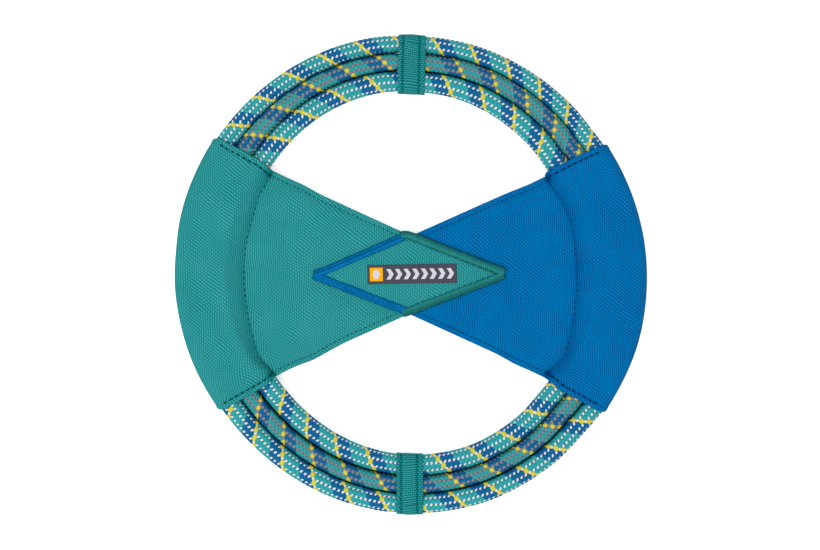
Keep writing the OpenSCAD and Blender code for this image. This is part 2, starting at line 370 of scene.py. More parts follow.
def cloth(name, colour, pitch=(1.085, 0.88), bold=1.0, lift=0.13, pale=(0.0, 0.0, 0.0)):
    """Plain weave on the flat coordinates in the attribute called weave, in mm.

    Its third value turns the slanting lines, which are partly the threads' twist and partly painted shade of
    a light from one side: 1 is down to the right, -1 is up, 0 is upright.
    pale is a painted sheen: what the brighter threads gain, and the darker ones lose, besides the painted
    shade."""
    n = Nodes(name, 0.85, 0.02)
    at, x, y, turn = n.field("weave")
    u = n.times(n.swayed(x, at, 0.045, 1.0, 5.0), math.pi / pitch[0])
    v = n.times(n.swayed(y, at, 0.06, 1.0, 4.0), math.pi / pitch[1])
    su, sv = n.math("SINE", u), n.math("SINE", v)
    over = n.math("GREATER_THAN", n.times(su, sv), 0.0)
    au, av = n.math("ABSOLUTE", su), n.math("ABSOLUTE", sv)
    warp = n.times(n.math("POWER", au, 0.7), n.math("POWER", av, 0.4))
    weft = n.times(n.math("POWER", au, 0.4), n.math("POWER", av, 0.7))
    high = n.math("ADD", n.times(warp, over), n.times(weft, n.math("SUBTRACT", 1.0, over)))
    down = n.times(n.math("COSINE", n.math("ADD", u, v)), n.math("MAXIMUM", turn, 0.0))
    up = n.times(n.math("COSINE", n.math("SUBTRACT", u, v)), n.math("MINIMUM", turn, 0.0))
    still = n.math("SUBTRACT", 1.0, n.math("ABSOLUTE", turn))
    upright = n.times(n.math("COSINE", n.times(u, 2.0)), still)
    slant = n.math("SUBTRACT", up, n.math("ADD", down, upright))
    fibre = n.fibres(at)
    # painted shade: darker in the hollows between threads, warp and weft floats a little apart in tone, and
    # slanting or upright lines that are partly twist and partly painted shade; fibre and noise are the
    # cloth's own tone
    shade = n.shaded((high, 0.0, 0.9, 1 - 0.30 * bold, 1.06),
                     (over, 0.0, 1.0, 1 - 0.06 * bold, 1 + 0.06 * bold),
                     (slant, -1.0, 1.0, 1 - 0.21 * bold, 1 + 0.21 * bold),
                     (fibre, 0.3, 0.7, 0.92, 1.08), (n.noise(at, 0.05, 3.0), 0.3, 0.7, 0.95, 1.05))
    shade = n.painted_shade(shade, fibre)
    tall = n.math("ADD", high, n.times(fibre, 0.25))
    # pale adds a painted sheen to the brighter threads
    more = n.scale(pale, n.math("SUBTRACT", shade, 1.0))
    tone = n.add("VectorMath", {0: n.scale(colour, shade), 1: more}, operation="ADD").outputs[0]
    tone = n.add("VectorMath", {0: tone, 1: (0.0, 0.0, 0.0)}, operation="MAXIMUM").outputs[0]
    return n.done(tone, n.bump(tall, lift * MM, 0.8))


def ribbed(name, colour):
    """Cloth folded over a cord: a rib across it every mm, and fine threads along it."""
    n = Nodes(name, 0.9, 0.03)
    at, x, y, _ = n.field("weave")
    lean = n.swayed(x, at, 0.5, 2.0, 0.8)
    ribs = n.math("SINE", n.times(n.math("MULTIPLY_ADD", y, 0.22, lean), 2 * math.pi))
    lines = n.math("SINE", n.times(y, 2 * math.pi / 0.55))
    # painted shade: darker between the ribs, standing for the shading of their relief
    shade = n.shaded((ribs, -1.0, 1.0, 0.80, 1.16), (lines, -1.0, 1.0, 0.94, 1.05),
                     (n.fibres(at), 0.3, 0.7, 0.9, 1.1), (n.noise(at, 0.25, 2.0), 0.3, 0.7, 0.9, 1.1))
    shade = n.painted_shade(shade)
    tall = n.math("MULTIPLY_ADD", lines, 0.3, ribs)
    return n.done(n.scale(colour, shade), n.bump(tall, 0.08 * MM, 0.8))


def yarn(name, colour, deep, rough=0.7, ends=5.0):
    """A bundle of fine ends; the attribute called yarn holds mm along, place across and strand.

    deep is the shade between two strands."""
    n = Nodes(name, rough, 0.08)
    _, along, across, which = n.field("yarn")
    turn = n.math("MULTIPLY_ADD", along, 0.35, n.times(across, ends))
    wave = n.math("SINE", n.times(turn, 2 * math.pi))
    fine = n.math("SINE", n.times(turn, 8 * math.pi))
    drawn_out = {0: n.times(along, 0.8), 1: n.times(across, 9.0), 2: which}
    speck = n.noise(n.add("CombineXYZ", drawn_out).outputs[0], 1.6, 3.0)
    edge = n.math("POWER", n.math("ABSOLUTE", n.times(across, 2.0)), 3.0)
    shade = n.painted_shade(n.shaded((edge, 0.0, 1.0, 1.06, deep), (wave, -1.0, 1.0, 0.94, 1.05),
                            (speck, 0.3, 0.7, 0.9, 1.1)))
    tall = n.math("MULTIPLY_ADD", fine, 0.25, wave)
    return n.done(n.scale(colour, shade), n.bump(tall, 0.05 * MM, 0.6))


def plain(name, colour, rough, grain):
    """Even stuff with a fine grain: foam, tape or thread."""
    n = Nodes(name, rough)
    at = n.add("TexCoord").outputs["Object"]
    speck = n.noise(at, grain, 4.0)
    tone = n.scale(colour, n.between(speck, 0.3, 0.7, 0.88, 1.12))
    return n.done(tone, n.bump(speck, 0.05 * MM, 0.7))


def thread(name, colour):
    """Twisted thread, with the same attribute as a yarn."""
    n = Nodes(name, 0.7, 0.05)
    _, along, across, _ = n.field("yarn")
    twist = n.math("SINE", n.math("MULTIPLY_ADD", along, 9.0, n.times(across, 6.0)))
    shade = n.between(twist, -1.0, 1.0, 0.75, 1.15)
    return n.done(n.scale(colour, shade), n.bump(twist, 0.04 * MM, 0.8))


M_TEAL = cloth("teal_weave", (0.0212, 0.198, 0.204), pale=(0.045, 0.0, 0.0))
M_BLUE = cloth("blue_weave", (0.0, 0.109, 0.288), pale=(0.0, 0.055, 0.02))
M_TEAL_HEM = ribbed("teal_hem_weave", (0.013, 0.160, 0.153))
M_BLUE_HEM = ribbed("blue_hem_weave", (0.0, 0.118, 0.300))
M_BAND = cloth("band_weave", (0.0175, 0.175, 0.180), bold=1.5, pale=(0.045, 0.0, 0.0))
M_LABEL = cloth("label_weave", (0.050, 0.049, 0.064), pitch=(0.4, 0.4), bold=0.5, lift=0.04)
Y_TEAL = yarn("teal_yarn", (0.016, 0.235, 0.250), 0.72)
Y_BLUE = yarn("blue_yarn", (0.0, 0.084, 0.210), 0.72)
Y_YELLOW = yarn("yellow_yarn", (0.45, 0.405, 0.040), 0.75)
Y_WHITE = yarn("white_yarn", (0.50, 0.50, 0.55), 0.8, ends=3.0)
Y_GREY = yarn("reflective_yarn", (0.140, 0.150, 0.17), 0.7, rough=0.5, ends=3.0)
M_FOAM = plain("foam", (0.012, 0.022, 0.028), 0.95, 900.0)
M_SLEEVE = plain("joint_tape", (0.020, 0.020, 0.022), 0.6, 500.0)
M_UNDER = plain("hidden_cord", (0.03, 0.20, 0.25), 0.85, 1200.0)
# these threads are coloured far darker than their cloth: painted shade of stitches sunk into it
T_TEAL = thread("teal_thread", (0.003, 0.030, 0.034))
T_BLUE = thread("blue_thread", (0.0, 0.014, 0.050))
T_TEAL_HEM = thread("teal_hem_thread", (0.009, 0.100, 0.105))
T_FOLD = thread("fold_thread", (0.0, 0.060, 0.19))
T_GREY = thread("grey_thread", (0.05, 0.05, 0.06))

# -------- ropes

SIDES = {"outer": 180.0, "middle": 0.0, "inner": 180.0}      # where each rope's ends meet
TURNS = {"outer": 38, "middle": 36, "inner": 34}             # turns of a strand round its rope
CREST = {"outer": 90.0, "middle": 102.5, "inner": 112.5}     # a row with the coloured strands on top
YELLOW = {"outer": 83.7, "middle": 86.0, "inner": 79.3}      # where a yellow strand is on top
ORDER = {"outer": "TTTTBBBY", "middle": "BBBTTTTY", "inner": "BBBTTTTY"}
ARCS = ((29.0, 151.0), (209.0, 331.0))
SLIP = {"outer": ((-0.65, -0.0185), (-0.5, -0.01)), "middle": ((0.8, 0.022), (-3.8, 0.02)),
        "inner": ((-0.15, 0.04), (-1.1, 0.035))}             # how far the strands have slipped along
ROLL = {"outer": ((-4.5, -0.425), (13.0, -0.26)), "middle": ((-5.5, -0.395), (-16.5, -0.08)),
        "inner": ((-32.0, -0.37), (14.0, -0.09))}            # how far their crossings have turned round
TOUCHES = {"outer": (180.0,), "middle": (0.0, 180.0), "inner": (0.0,)}       # where a rope meets the next


# a strand's width and thickness, how far it swings out and in, and how deep it lies, in mm
STRANDS = {("bright", "colour"): (2.85, 0.95, 0.16, 0.0), ("bright", "light"): (1.32, 0.66, 0.40, 0.24),
           ("reflective", "colour"): (2.6, 0.85, 0.24, 0.0), ("reflective", "light"): (2.05, 0.8, 0.26, 0.07)}
LIGHT_YARN = {"bright": Y_WHITE, "reflective": Y_GREY}
SECTION = [(-0.5, -0.05), (-0.4, 0.33), (-0.13, 0.5), (0.2, 0.48), (0.42, 0.3), (0.5, -0.05), (0.0, -0.5)]
STEP = 360 / 16 / 4                              # degrees; a strand meets another every 4 steps
BRAID = ROPE - 0.16 - 0.475                      # middle of a strand, from its rope's centre
FOAM_R, COVER_R, SLEEVE_R = 3.55, 4.68, 4.72     # of its foam, its cover inside a wing, its joint's sleeve
JOINT = 12                                       # half the length of a joint's sleeve
HIDDEN = 30                                      # degrees of cover inside a wing, each way from its middle


def strand_path(which, hand, arc, k):
    """A strand's angles round the ring and round its rope, and its angle past a crossing, in degrees."""
    n, row = TURNS[which], CREST[which]
    first = (n * YELLOW[which] + 90.0) - 7 * 45.0             # strand 7 is the yellow one
    if hand < 0:
        first = 2 * row - first
    (much, more), (roll, twist), mid = SLIP[which][arc], ROLL[which][arc], 90 + 180 * arc
    rate = n * (1 - more) + twist
    at_mid = hand * (first + 45.0 * k - row) - n * (mid - much) - roll
    start, stop = ARCS[arc]
    lead = (at_mid + rate * (mid - start)) % STEP
    theta = np.arange(start + lead / rate, stop, STEP / rate)
    turned = hand * (at_mid - rate * (theta - mid))
    return theta, turned + row + roll + twist * (theta - mid), turned


def strands(which, hand, kind):
    """Eight strands that wind one way round a rope, over and under the other eight."""
    big = RINGS[which]
    fat = hand > 0
    tone = "colour" if fat else "light"
    width, thick, swing, sunk = STRANDS[kind, tone]
    base = BRAID - sunk
    shape = np.array(SECTION)
    verts, faces, caps, ids, cap_ids, data, groove_shade = [], [], [], [], [], [], []
    count = 0
    for arc in range(len(ARCS)):
        for k in range(8):
            theta, phi, turned = strand_path(which, hand, arc, k)
            sway = 0.8 * np.sin(np.radians(theta * 7 + 50 * k))
            sway = sway + 0.6 * np.sin(np.radians(theta * 23 + 90 * k))
            t, f = np.radians(theta), np.radians(phi + sway)
            on_top = np.cos(8 * np.radians(turned)) * (1 if fat else -1)
            r = base + swing * on_top * (1.12 - 0.12 * on_top**2)
            r = r - 0.3 * (1 - step_to(np.abs(theta % 180 - 90), 3.2, 4.6))
            near = np.full(len(phi), 180.0)
            for side in TOUCHES[which]:
                near = np.minimum(near, np.abs((phi - side + 180) % 360 - 180))
            r = r + 0.22 * (1 - step_to(near, 15, 45))
            if not fat:
                r = r - 0.5 * (1 - step_to(near, 24, 38))
            e_r, up = outwards(t), np.array([0.0, 0.0, 1.0])
            out = np.cos(f)[:, None] * e_r + np.sin(f)[:, None] * up
            line = big * e_r + r[:, None] * out + MID * up
            across, lift = frames(line, out)
            wide = width * (0.77 + 0.23 * on_top) * (1 + 0.03 * np.sin(k * 2.4))
            sec = shape[None] * np.stack([wide, np.full_like(wide, thick)], -1)[:, None]
            v, q, c = tubes(line[None], across[None], lift[None], sec[None])
            verts.append(v)
            faces.append(q + count)
            caps += [x + count for x in c]
            count += len(v)
            colour = "TBY".index(ORDER[which][k]) if fat else 0
            ids.append(np.full(len(q), colour))
            cap_ids += [colour] * len(c)
            far, place = np.broadcast_arrays(run_of(line)[:, None], shape[:, 0])
            data.append(np.stack([far, place, np.full(far.shape, k * 3.0)], -1).reshape(-1, 3))
            # painted shade: strands darken towards the groove where a rope meets the next, the light strands
            # from further off
            shade = 0.93 * (1 - (step_to(near, 11, 26) if fat else step_to(near, 20, 36)))
            groove_shade.append(as_x(np.repeat(shade, len(shape))))
    polys = [np.concatenate(faces), np.concatenate(caps)]
    mats = [Y_TEAL, Y_BLUE, Y_YELLOW] if fat else [LIGHT_YARN[kind]]
    attrs = {"yarn": np.concatenate(data), "crease": np.concatenate(groove_shade)}
    ids = np.concatenate(ids + [cap_ids])
    return mesh_object(f"{which}_rope_{tone}_strands", np.concatenate(verts), polys, mats, ids, attrs)


def bar(name, big, r, a0, a1, mat, sides=28, step=0.8):
    """A round bar bent along part of a ring; a full turn closes on itself."""
    full = a1 - a0 >= 360
    t = np.radians(np.linspace(a0, a1, int((a1 - a0) / step) + 1)[:-1 if full else None])
    e_r = outwards(t)
    up = straight_up(e_r, 1)
    sec = np.broadcast_to(r * circle(sides), (1, len(t), sides, 2))
    v, q, c = tubes((big * e_r + MID * up)[None], e_r[None], up[None], sec, closed=full)
    polys = [q] + [np.asarray(c)[:, 0]] if c else [q]
    return mesh_object(name, v, polys, [mat])


for which, big in RINGS.items():
    kind = "reflective" if which == "middle" else "bright"
    piece(strands(which, 1, kind), kind + "_rope", which + "_rope_sheath")
    piece(strands(which, -1, kind), kind + "_rope")
    at = SIDES[which]
    gap = math.degrees(0.3 / big)
    core = bar(which + "_rope_foam", big, FOAM_R, at + gap, at + 360 - gap, M_FOAM)
    piece(core, "rope_core", which + "_rope_core")
    half = math.degrees(JOINT / big)
    for side in (0, 180):
        if side == at:
            spans = ((side - HIDDEN, side - half), (side + half, side + HIDDEN))
        else:
            spans = ((side - HIDDEN, side + HIDDEN),)
        for i, (b0, b1) in enumerate(spans):
            hidden = bar(f"{which}_rope_cover_{side}_{i}", big, COVER_R, b0, b1, M_UNDER)
            piece(hidden, kind + "_rope")
    sleeve = bar(which + "_rope_joint_sleeve", big, SLEEVE_R, at - half, at + half, M_SLEEVE)
    piece(sleeve, "joint_sleeve", which + "_rope_joint")

# -------- wings

R_IN, R_OUT = RINGS["inner"], RINGS["outer"]


def ripple(x, y, seed):
    """Shallow waves of cloth that isn't pulled quite flat."""
    g = np.random.default_rng(seed)
    total = np.zeros(np.broadcast(x, y).shape)
    for _ in range(9):
        a = g.uniform(0, np.pi)
        long = g.uniform(14, 46)
        ph = g.uniform(0, 2 * np.pi)
        bend = 3.5 * np.sin(y / 21 + ph)
        phase = 2 * np.pi * ((x + bend) * np.cos(a) + y * np.sin(a)) / long + ph
        total += g.uniform(0.4, 1.0) * np.sin(phase)
    return total / 4.0


# rows of points to the seam, up the wall, round the inner rope, over the ropes and round the rim
WEB_ROWS, WALL, ARC, FLAT, RIM = 96, 10, 10, 30, 16
# by wing (-1 is the left one) and end (1 is the upper one), how far a seam's end turns towards the waist,
# and the shares of the way to the end between which it does
BEND = {(-1, 1): (2.0, 0.1, 0.7), (-1, -1): (0.0, 0.5, 1.0),
        (1, 1): (2.8, 0.45, 0.85), (1, -1): (3.4, 0.7, 1.0)}


def seam_at(psi, side):
    """The channel seam's radius round the apex: its ends turn a little towards the waist."""
    turns = []
    for upper in (-1, 1):
        much, start, stop = BEND[side, upper]
        turns.append(much * step_to(psi * upper / EDGE, start, stop))
    return SEAM - turns[0] - turns[1]


def sheet_point(row, psi, d, side, face):
    """A point of a wing's cloth, for rows from the waist out to the rim.

    row is 0 at the waist, 1 at the channel seam and 5 at the rim. psi is the angle round the apex,
    and d the distance to the nearer edge. Also gives the distance along the cloth."""
    rho_w = (APEX + START) / np.cos(psi)
    seam = seam_at(psi, side)
    x_s, y_s = seam * np.cos(psi) - APEX, seam * np.sin(psi)
    r_s = np.hypot(x_s, y_s)
    dx = R_IN - r_s
    far = np.sqrt(dx**2 + CLOTH**2)
    tangent = np.arctan2(-CLOTH, dx) + np.arcsin(np.clip(SKIN / np.maximum(far, SKIN), 0, 1))
    steep = np.arcsin(np.clip((dx - 0.6) / SKIN, -1, 1))
    al = np.minimum(tangent, steep)
    t_r, t_z = R_IN - SKIN * np.sin(al), SKIN * np.cos(al)
    wall_l = np.hypot(t_r - r_s, t_z - CLOTH)
    spans = [seam - rho_w, wall_l, SKIN * al, R_OUT - R_IN, SKIN * np.pi / 2]
    f = [np.clip(row - i, 0, 1) for i in range(5)]
    run = sum(s * v for s, v in zip(spans, f))
    part = [row < 2, row < 3, row < 4, row >= 4]
    inner, outer = al * (1 - f[2]), f[4] * np.pi / 2
    r = np.select(part, [r_s + (t_r - r_s) * f[1], R_IN - SKIN * np.sin(inner),
                         R_IN + (R_OUT - R_IN) * f[3], R_OUT + SKIN * np.sin(outer)])
    z = np.select(part, [CLOTH + (t_z - CLOTH) * f[1], SKIN * np.cos(inner), SKIN, SKIN * np.cos(outer)])
    web = row < 1
    inside = np.maximum(r**2 - (APEX * np.sin(psi)) ** 2, 0)
    rho = np.where(web, rho_w + (seam - rho_w) * f[0], APEX * np.cos(psi) + np.sqrt(inside))
    x, y = rho * np.cos(psi) - APEX, rho * np.sin(psi)
    gap = seam - rho                                           # inwards of the seam
    pinned = (1 - bell(d - HEM, 1.5)) * np.where(d < HEM, 0.3, 1.0)
    seam_free = 1 - bell(gap, 3.2)
    past_patch = np.maximum((np.abs(y) - 22.4 + 0.395 * x) * 0.93, x - 48.5)
    near_waist = step_to(past_patch, -0.5, 6)
    puff = 0.62 * pinned * seam_free * near_waist
    z = np.where(web, CLOTH + 0.03 + puff, z)
    hem = 0.30 * bell(d - 1.15, 0.8) - 0.34 * bell(d - HEM, 0.5)
    hem = hem * (1 - 0.8 * step_to(row, 4.1, 4.7))
    dent = bell(gap, 0.8) * 0.25
    seed = (3 if side < 0 else 5) + (0 if face > 0 else 20)
    pucker = 0.10 * np.sin(2 * np.pi * y / 3.25 + seed) * bell(gap, 5.5)
    along = rho * np.cos(EDGE)
    pucker = pucker + 0.07 * np.sin(2 * np.pi * along / 3.2 + seed) * bell(d - HEM, 2.6)
    sag = np.sin(np.pi * np.clip((r - R_IN) / (R_OUT - R_IN), 0, 1) * 2) ** 2
    loose = np.where(web, 0, 1) * np.clip(row - 1.3, 0, 1) * (1 - step_to(row, 4.5, 5))
    soft = 0.16 * ripple(x * 1.1, y * 1.1, seed + 7) * step_to(d, 0, 7) * loose
    lift = hem * np.where(web, 0.2, 1.0) + pucker + soft - 0.22 * sag * loose - dent
    wave = 0.55 * ripple(x, y, seed % 20) * np.where(web, seam_free * near_waist * step_to(d, 1, 14), 0)
    px = (rho_w + run) * np.cos(psi)
    py = (rho_w + run) * np.sin(psi)
    return x, y, z, lift, wave, px, py


EDGE_STEPS = np.array([0, 0.1, 0.28, 0.5, 0.8, 1.15, 1.5, 1.85, 2.2, 2.45, 2.7, 2.95, 3.3, 3.8, 4.5, 5.4])
EDGE_RHO = [48.1, SEAM, 127.8, 131.7, 151.1, 156.4]          # along an edge, at rows 0 to 5
COLUMNS = 104                                    # between the last of those steps from either edge
LINE = 500                                       # points along a line of stitches


def row_values():
    parts = [np.linspace(0, 0.9, WEB_ROWS - 18, endpoint=False), np.linspace(0.9, 1, 18, endpoint=False)]
    for i, n in enumerate((WALL, ARC, FLAT, RIM)):
        parts.append(np.linspace(i + 1, i + 2, n, endpoint=i == 3))
    return np.concatenate(parts)


# by wing and end: how many radians an edge flares over the ropes; how many it is drawn in along the
# web, and the rows between which that stops; and how many mm a corner at the rim is cut back
FLARE = {(-1, 1): 0.0195, (-1, -1): 0.0225, (1, 1): 0.000, (1, -1): 0.0215}
PULL = {(-1, 1): (0.0095, 0.6, 0.8), (-1, -1): (0.019, 0.4, 0.75),
        (1, 1): (0.018, 0.8, 1.6), (1, -1): (0.0105, 0.6, 0.8)}
CORNER = {(-1, 1): 1.6, (-1, -1): 1.6, (1, 1): 0.9, (1, -1): 1.2}


def edge_angle(side, upper, rows):
    """The angle of a wing's edge: drawn in along the web, and flared where it goes over the ropes."""
    much, start, stop = PULL[side, upper]
    return EDGE + FLARE[side, upper] * step_to(rows, 0.6, 4.6) - much * (1 - step_to(rows, start, stop))


def corner_trim(side, upper, rows):
    return CORNER[side, upper] * step_to(rows, 4.0, 5.0) ** 2


def wing_grid(side, face):
    rows = row_values()[:, None]
    rho_guess = np.interp(rows, range(6), EDGE_RHO)
    leads = []
    for upper in (-1, 1):
        trim = corner_trim(side, upper, rows)
        reach = np.arcsin(np.clip((EDGE_STEPS[None] + trim) / rho_guess, -1, 1))
        leads.append(edge_angle(side, upper, rows) - reach)
    low, high = -leads[0], leads[1]
    share = (np.arange(1, COLUMNS) / COLUMNS)[None]
    mid = low[:, -1:] + (high[:, -1:] - low[:, -1:]) * share
    psi = np.concatenate([low, mid, high[:, ::-1]], 1)
    d_up = (edge_angle(side, 1, rows) - psi) * rho_guess - corner_trim(side, 1, rows)
    d_low = (edge_angle(side, -1, rows) + psi) * rho_guess - corner_trim(side, -1, rows)
    d = np.minimum(d_up, d_low)
    row = np.broadcast_to(rows, psi.shape)
    x, y, z, lift, wave, px, py = sheet_point(row, psi, np.maximum(d, 0), side, face)
    grid = np.stack([x, y, z], -1)
    n = -normals_of(grid)
    grid = grid + n * lift[..., None]
    grid[..., 2] += wave * face
    n = -normals_of(grid)
    thick = CLOTH - 0.05 + 0.2 * (1 - step_to(d, 2.3, 3.2))
    thick = thick * np.maximum(rounded(d, 0.5), 0.12)
    top, bottom = grid + n * thick[..., None], grid - n * thick[..., None]
    for g in (top, bottom):
        mirrored(g, side, face, MID)
    over = step_to(row, 1.0, 1.6)
    past = np.hypot(grid[..., 0] + APEX, grid[..., 1]) - seam_at(psi, side)
    # turn steers the cloth's slanting lines, which are partly painted shade
    turn = step_to(np.abs(past - 1.0), 2.0, 7.0) * (0.65 + 0.7 * ripple(x / 1.3, y / 1.3, 60 + side))
    turn = turn - 1.5 * step_to(row, 4.0, 4.5) - (1.4 * (1 - step_to(d, 2.0, 9.0)) if side > 0 else 0)
    weave = np.stack([px * side, py, np.clip(turn, -1, 1)], -1)
    # painted shade: along the hem stitches, at the cut edge, along the channel seam, in the puckers where hem
    # and seam meet, and at the rim, most on the right wing, which faces from the light
    sewn = (0.05 + (0.17 if side > 0 else 0.23) * over) * (1 - step_to(row, 3.9, 4.15))
    dark = sewn * bell(d - HEM - 0.1, 0.6)
    dark = dark + 0.10 * bell(d, 0.35)
    dark = dark + 0.10 * bell(past, 0.55) + 0.13 * bell(past - 1.5, 2.2)
    ends = bell(past - 0.8, 2.0) * bell(d - HEM, 2.2)
    dark = np.clip(dark + 0.28 * ends + (0.45 if side > 0 else 0.15) * step_to(row, 4.6, 4.9), 0, 0.8)
    return top, bottom, weave, as_x(dark)


def both(**fields):
    """The same values for the top and the bottom of a slab."""
    return {k: np.concatenate([v.reshape(-1, 3)] * 2) for k, v in fields.items()}


def wing(name, side, face, mat, slot_name):
    top, bottom, weave, dark = wing_grid(side, face)
    v, q = slab(top, bottom)
    return piece(mesh_object(name, v, [q], [mat], attrs=both(weave=weave, crease=dark)), slot_name, name)


def edge_line(side, face, upper, lo_row, hi_row):
    """The surface where a wing's hem is sewn, with its outward normals."""
    rows = np.linspace(lo_row, hi_row, LINE)
    back = np.arcsin((HEM + corner_trim(side, upper, rows)) / np.interp(rows, range(6), EDGE_RHO))
    psi = upper * (edge_angle(side, upper, rows) - back)
    cols = []
    for shift in (-0.002, 0.0, 0.002):
        x, y, z, lift, wave, _, _ = sheet_point(rows, psi + shift, np.full(LINE, HEM), side, face)
        cols.append(np.stack([x, y, z + wave * face], -1))
    n_up = unit(np.cross(cols[2] - cols[0], np.gradient(cols[1], axis=0)))
    n_up = np.where(n_up[:, 2:] < 0, -n_up, n_up)
    line = cols[1] + n_up * (lift + CLOTH + 0.16)[:, None]
    mirrored(line, side, face, MID)
    mirrored(n_up, side, face)
    return line, n_up


def seam_line(side, face):
    """The surface along a wing's channel seam, with its outward normals."""
    psi = np.linspace(-EDGE * 0.955, EDGE * 0.955, LINE)
    d = (EDGE - np.abs(psi)) * SEAM
    x, y, z, lift, wave, _, _ = sheet_point(np.full(LINE, 0.9999), psi, d, side, face)
    line = np.stack([x * side, y, face * (z + lift + wave * face + CLOTH - 0.04) + MID], -1)
    return line, straight_up(line, face)


def stitch_mesh(rows, pitch=3.2, long=2.3, r=0.27, sink=0.2):
    """Stitches along several lines; both ends of each dive into the cloth."""
    lines, ups = [], []
    for line, up in rows:
        run = run_of(line)
        for start in np.arange(0.4, run[-1] - long, pitch):
            at = np.linspace(start, start + long, 7)
            p, u = picked(line, run, at), picked(up, run, at)
            bow = np.sin(np.linspace(0, np.pi, 7)) ** 0.6
            lines.append(p + u * ((bow - 1) * sink * 2)[:, None])
            ups.append(u)
    lines, ups = np.array(lines), unit(np.array(ups))
    across, out = frames(lines, ups)
    slim = np.array([0.55, 0.9, 1, 1, 1, 0.9, 0.55]) * r
    sec = np.broadcast_to(slim[:, None, None] * circle(8), (len(lines), 7, 8, 2))
    v, q, c = tubes(lines, across, out, sec)
    far = np.broadcast_to(np.linspace(0, long, 7)[None, :, None], (len(lines), 7, 8))
    turn = np.broadcast_to(np.linspace(0, 1, 8)[None, None], far.shape)
    data = np.stack([far, turn, np.zeros_like(far)], -1).reshape(-1, 3)
    return v, [q, np.concatenate([x.reshape(-1, 8) for x in c])], data


def sew(name, rows, mat, slot_name, *node, **how):
    v, polys, data = stitch_mesh(rows, **how)
    ob = mesh_object(name, v, polys, [mat], attrs={"yarn": data})
    return piece(ob, slot_name, *node)


FACES = ((1, "front"), (-1, "back"))
WINGS = (("left", -1, M_TEAL, T_TEAL, "teal"), ("right", 1, M_BLUE, T_BLUE, "blue"))
for which, side, mat, stitch_mat, colour in WINGS:
    for face, word in FACES:
        wing(f"{which}_wing_{word}", side, face, mat, colour + "_cloth")
    rows, heavy = [], []
    for face in (1, -1):
        for upper in (1, -1):
            rows.append(edge_line(side, face, upper, 0.08, 0.985))
            heavy.append(edge_line(side, face, upper, 1.0, 4.28))
    sew(f"{which}_wing_edge_stitches", rows, stitch_mat, colour + "_thread", f"{which}_wing_edge_thread",
        r=0.22, long=1.1, pitch=2.4, sink=0.26)
    sew(f"{which}_wing_end_stitches", heavy, stitch_mat, colour + "_thread",
        r=0.5, long=1.5, pitch=3.05, sink=0.1)
    rows = [seam_line(side, 1), seam_line(side, -1)]
    sew(f"{which}_channel_stitches", rows, stitch_mat, colour + "_thread", f"{which}_channel_thread",
        long=1.5, pitch=3.0)
    t = 33.0                                     # degrees of rim seam, each way from the wing's middle
    a0, a1 = (180 - t, 180 + t) if side < 0 else (-t, t)
    lo, hi = box_mm(which + "_rim_thread")
    rim_r = max(abs(lo[0]), abs(hi[0])) - 0.28
    rim = bar(f"{which}_rim_seam_thread", rim_r, 0.2, a0, a1, stitch_mat, sides=8, step=0.5)
    piece(rim, colour + "_thread", which + "_rim_thread")

# -------- waist


def resampled(points, step):
    """A smooth line through a few points, at even steps."""
    p = np.array(points, float)
    for _ in range(4):
        q = np.repeat(p, 2, axis=0)[1:-1]
        q = np.where((np.arange(len(q)) % 2 == 0)[:, None],
                     0.75 * p[:-1].repeat(2, 0) + 0.25 * p[1:].repeat(2, 0),
                     0.25 * p[:-1].repeat(2, 0) + 0.75 * p[1:].repeat(2, 0))
        p = np.concatenate([p[:1], q, p[-1:]])
    run = run_of(p)
    return picked(p, run, np.linspace(0, run[-1], int(run[-1] / step) + 1))


def fold(name, points, width, low, high, face, mat, slot_name, away, dusk, crease=0.0, seed=0):
    """A folded edge of cloth along a line in plan: a flat roll with ribs across it.

    away is 1 where the outside of the waist is on the line's left, and -1 on its right.
    dusk is the painted shade on the inner and the outer half, where each turns from the light. crease is how
    deep a groove runs along the middle, or how tall a ridge if it is below 0; a groove is given painted shade
    too."""
    line = resampled(points, 0.22)
    side = beside(line)
    v = np.sin(np.linspace(-np.pi / 2, np.pi / 2, 25))[None]
    run = run_of(line)[:, None]
    left = np.minimum(run, run[-1] - run)
    close = rounded(left, 1.2, 0.02)
    g = np.random.default_rng(seed)
    wide = width / 2 * (1 + 0.035 * np.sin(run / 3.1 + g.uniform(0, 6)) + 0.02 * np.sin(run / 1.3))
    wide = wide * (0.7 + 0.3 * close)
    arch = np.sqrt(np.clip(1 - np.abs(v) ** 3.2, 0, 1))
    body = high - low
    tall = body * (0.35 + 0.65 * arch) * close
    tall = tall + 0.07 * np.sin(2 * np.pi * run / 0.95 + 1.1 * np.sin(v * 2)) * arch * close
    tall = tall + 0.10 * np.sin(run / 2.2 + 2 * v + seed) * arch
    if crease:
        groove = bell(v - 0.12, 0.13)
        outer_half = step_to(v, 0.0, 0.35)
        tall = tall - crease * groove * close - 0.45 * crease * outer_half
    xy = line[:, None] + side[:, None] * (wide * v)[..., None]
    top = np.concatenate([xy, (MID + face * (low + tall))[..., None]], -1)
    bottom = np.concatenate([xy, np.full_like(top[..., :1], MID + face * low)], -1)
    verts, quads = slab(top, bottom)
    weave = np.stack([np.broadcast_to(run, tall.shape), wide * v, np.zeros_like(tall)], -1)
    # painted shade: towards the roll's edges, on the halves set by dusk, and in a groove
    dark = np.broadcast_to(0.3 * np.abs(v) ** 6, tall.shape)
    dark = dark + dusk[0] * step_to(-v * away, -0.1, 0.5) + dusk[1] * step_to(v * away, -0.3, 0.3)
    if crease > 0:
        dark = dark + 0.28 * groove
    dark = as_x(np.clip(dark, 0, 0.8))
    return piece(mesh_object(name, verts, [quads], [mat], attrs=both(weave=weave, crease=dark)), slot_name)


